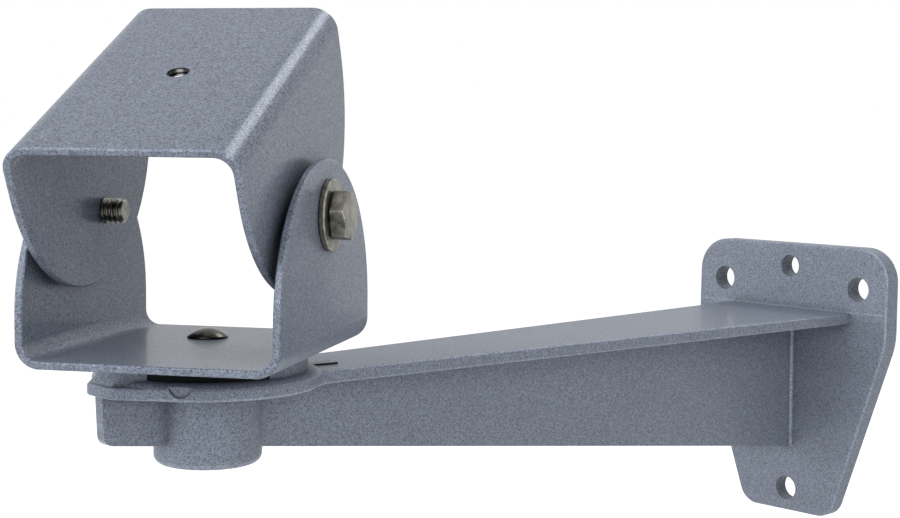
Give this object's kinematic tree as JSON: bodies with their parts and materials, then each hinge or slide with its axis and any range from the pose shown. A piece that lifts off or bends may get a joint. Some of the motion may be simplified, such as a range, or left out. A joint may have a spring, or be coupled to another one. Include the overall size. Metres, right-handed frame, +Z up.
{
  "type": "camera wall bracket",
  "caption": "Wall bracket for a security camera: cast arm on a bolted wall plate, with a folded sheet pan and tilt head that takes a camera on a tapped hole.",
  "frame": {"origin": "on the wall face of the plate, in the arm's plane of symmetry, level with the flat top of the arm", "axes": "+Y into the wall, the arm runs out along -Y, +Z up, +X to the right seen facing the wall"},
  "size_m": [0.1031, 0.3239, 0.1674],
  "materials": {
    "arm_paint": "grey stoved paint with a fine grain",
    "yoke_paint": "grey gloss paint on sheet steel",
    "bright_steel": "plated steel",
    "dark_steel": "dark plated steel",
    "pad_rubber": "black rubber"
  },
  "bodies": {
    "arm": {"wall_arm": "arm_paint", "friction_pad_right": "pad_rubber", "friction_pad_left": "pad_rubber"},
    "pan_head": {"lower_yoke": "yoke_paint", "pan_bolt": "dark_steel", "pan_washer": "bright_steel", "pan_lock_washer": "bright_steel", "pan_nut": "bright_steel"},
    "tilt_head": {"upper_yoke": "yoke_paint", "tilt_bolt_right": "bright_steel", "tilt_bolt_left": "bright_steel", "tilt_washer_right": "bright_steel", "tilt_washer_left": "bright_steel", "tilt_spacer_right": "bright_steel", "tilt_spacer_left": "bright_steel"}
  },
  "joints": [
    {"name": "pan", "type": "hinge", "parent": "arm", "child": "pan_head", "pos_m": [0, -0.257, 0.0079], "axis": [0, 0, 1], "continuous": true},
    {"name": "tilt", "type": "hinge", "parent": "pan_head", "child": "tilt_head", "pos_m": [0.01173, -0.26652, 0.0427], "axis": [0.8231, 0.5678, 0], "range_deg": [-90, 40]}
  ]
}
